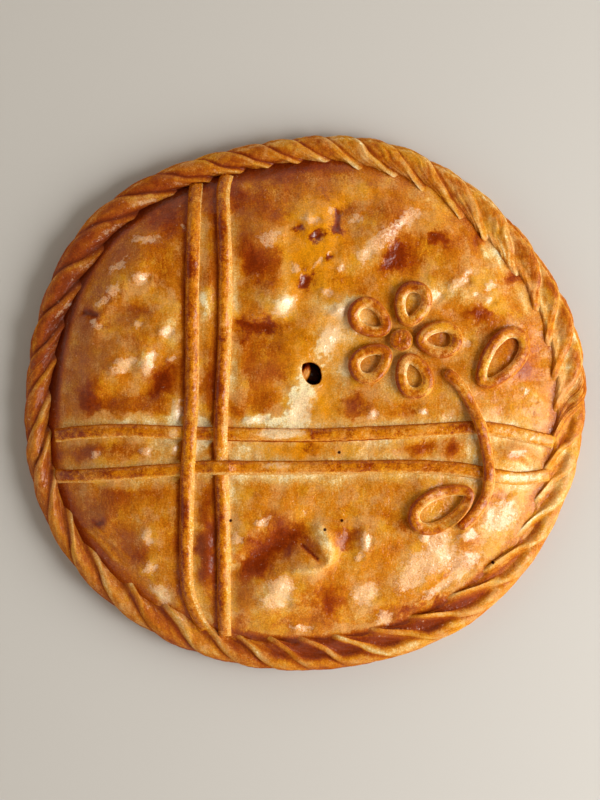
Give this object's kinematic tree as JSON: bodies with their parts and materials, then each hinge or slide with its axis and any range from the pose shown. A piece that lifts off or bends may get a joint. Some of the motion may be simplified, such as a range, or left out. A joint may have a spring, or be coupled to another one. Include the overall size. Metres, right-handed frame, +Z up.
{
  "type": "galician empanada",
  "caption": "Round flat baked pie with a domed, glazed lid, a twisted rope edge, a steam vent, laid pastry strips and a rolled-pastry sprig.",
  "frame": {"origin": "middle of the pie's box at the flat base it rests on", "axes": "+Z up; +X to the right and +Y to the back as the pie is seen from above, with the strips' crossing to the left of the middle"},
  "size_m": [0.3199, 0.3049, 0.039],
  "materials": {
    "crust": "egg-washed crust, golden to red-brown, paler in the hollows, with a soft oily gloss",
    "strips": "browned top, paler cut sides",
    "rolls": "browned crown, paler flanks",
    "filling": "dark, moist cooked filling"
  },
  "bodies": {
    "root": {"crust": "crust", "filling": "filling", "strip_across_back": "strips", "strip_across_front": "strips", "strip_along_left": "strips", "strip_along_right": "strips", "petal_1": "rolls", "petal_2": "rolls", "petal_3": "rolls", "petal_4": "rolls", "petal_5": "rolls", "flower_heart": "rolls", "stem": "rolls", "leaf_back": "rolls", "leaf_front": "rolls"}
  },
  "joints": []
}
